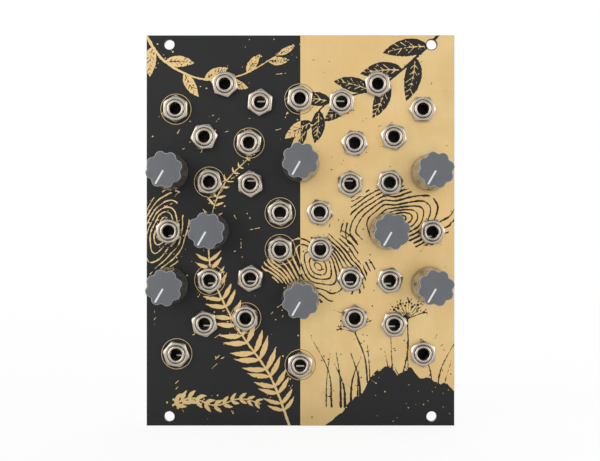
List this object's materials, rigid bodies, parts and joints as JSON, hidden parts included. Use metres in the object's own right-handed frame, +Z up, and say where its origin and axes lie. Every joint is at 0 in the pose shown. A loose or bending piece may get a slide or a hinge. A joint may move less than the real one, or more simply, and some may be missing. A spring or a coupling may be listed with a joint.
{
  "type": "eurorack module",
  "caption": "Flat rack-mount synthesiser module: black and gold panel with round grey fluted knobs and nickel jack sockets, carrying a circuit board behind.",
  "frame": {"origin": "centre of the panel's rear face, in the plane that the rack's rails carry", "axes": "X to the right along the rails, Z up, and the panel faces -Y, so a plug goes in along +Y"},
  "size_m": [0.1014, 0.0402, 0.1284],
  "materials": {
    "panel_black": "satin",
    "panel_gold": "satin",
    "jack_nickel": "gloss",
    "jack_plastic": "satin",
    "knob_grey": "satin",
    "pointer_white": "matte",
    "shaft_metal": "satin",
    "pot_case": "satin",
    "board_laminate": "satin",
    "header_plastic": "satin",
    "solder": "gloss",
    "chip_plastic": "matte"
  },
  "bodies": {
    "chassis": {"front_panel": "panel_black", "jack_01": "jack_nickel", "jack_02": "jack_nickel", "jack_03": "jack_nickel", "jack_04": "jack_nickel", "jack_05": "jack_nickel", "jack_06": "jack_nickel", "jack_07": "jack_nickel", "jack_08": "jack_nickel", "jack_09": "jack_nickel", "jack_10": "jack_nickel", "jack_11": "jack_nickel", "jack_12": "jack_nickel", "jack_13": "jack_nickel", "jack_14": "jack_nickel", "jack_15": "jack_nickel", "jack_16": "jack_nickel", "jack_17": "jack_nickel", "jack_18": "jack_nickel", "jack_19": "jack_nickel", "jack_20": "jack_nickel", "jack_21": "jack_nickel", "jack_22": "jack_nickel", "jack_23": "jack_nickel", "jack_24": "jack_nickel", "jack_25": "jack_nickel", "jack_26": "jack_nickel", "jack_27": "jack_nickel", "jack_28": "jack_nickel", "jack_29": "jack_nickel", "jack_30": "jack_nickel", "jack_31": "jack_nickel", "jack_32": "jack_nickel", "potentiometer_1": "pot_case", "potentiometer_2": "pot_case", "potentiometer_3": "pot_case", "potentiometer_4": "pot_case", "potentiometer_5": "pot_case", "potentiometer_6": "pot_case", "potentiometer_7": "pot_case", "potentiometer_8": "pot_case", "circuit_board": "board_laminate", "power_header": "header_plastic"},
    "control_1": {"shaft_1": "shaft_metal", "knob_1": "knob_grey"},
    "control_2": {"shaft_2": "shaft_metal", "knob_2": "knob_grey"},
    "control_3": {"shaft_3": "shaft_metal", "knob_3": "knob_grey"},
    "control_4": {"shaft_4": "shaft_metal", "knob_4": "knob_grey"},
    "control_5": {"shaft_5": "shaft_metal", "knob_5": "knob_grey"},
    "control_6": {"shaft_6": "shaft_metal", "knob_6": "knob_grey"},
    "control_7": {"shaft_7": "shaft_metal", "knob_7": "knob_grey"},
    "control_8": {"shaft_8": "shaft_metal", "knob_8": "knob_grey"}
  },
  "joints": [
    {"name": "control_1_turn", "type": "hinge", "parent": "chassis", "child": "control_1", "pos_m": [-0.04285, 0, 0.01915], "axis": [0, 1, 0], "range_deg": [0, 300]},
    {"name": "control_2_turn", "type": "hinge", "parent": "chassis", "child": "control_2", "pos_m": [0, 0, 0.02197], "axis": [0, 1, 0], "range_deg": [0, 300]},
    {"name": "control_3_turn", "type": "hinge", "parent": "chassis", "child": "control_3", "pos_m": [0.04255, 0, 0.01902], "axis": [0, 1, 0], "range_deg": [0, 300]},
    {"name": "control_4_turn", "type": "hinge", "parent": "chassis", "child": "control_4", "pos_m": [-0.02958, 0, -0.00013], "axis": [0, 1, 0], "range_deg": [0, 300]},
    {"name": "control_5_turn", "type": "hinge", "parent": "chassis", "child": "control_5", "pos_m": [0.02867, 0, -0.00026], "axis": [0, 1, 0], "range_deg": [0, 300]},
    {"name": "control_6_turn", "type": "hinge", "parent": "chassis", "child": "control_6", "pos_m": [-0.04295, 0, -0.01799], "axis": [0, 1, 0], "range_deg": [0, 300]},
    {"name": "control_7_turn", "type": "hinge", "parent": "chassis", "child": "control_7", "pos_m": [0, 0, -0.0221], "axis": [0, 1, 0], "range_deg": [0, 300]},
    {"name": "control_8_turn", "type": "hinge", "parent": "chassis", "child": "control_8", "pos_m": [0.04255, 0, -0.01799], "axis": [0, 1, 0], "range_deg": [0, 300]}
  ]
}
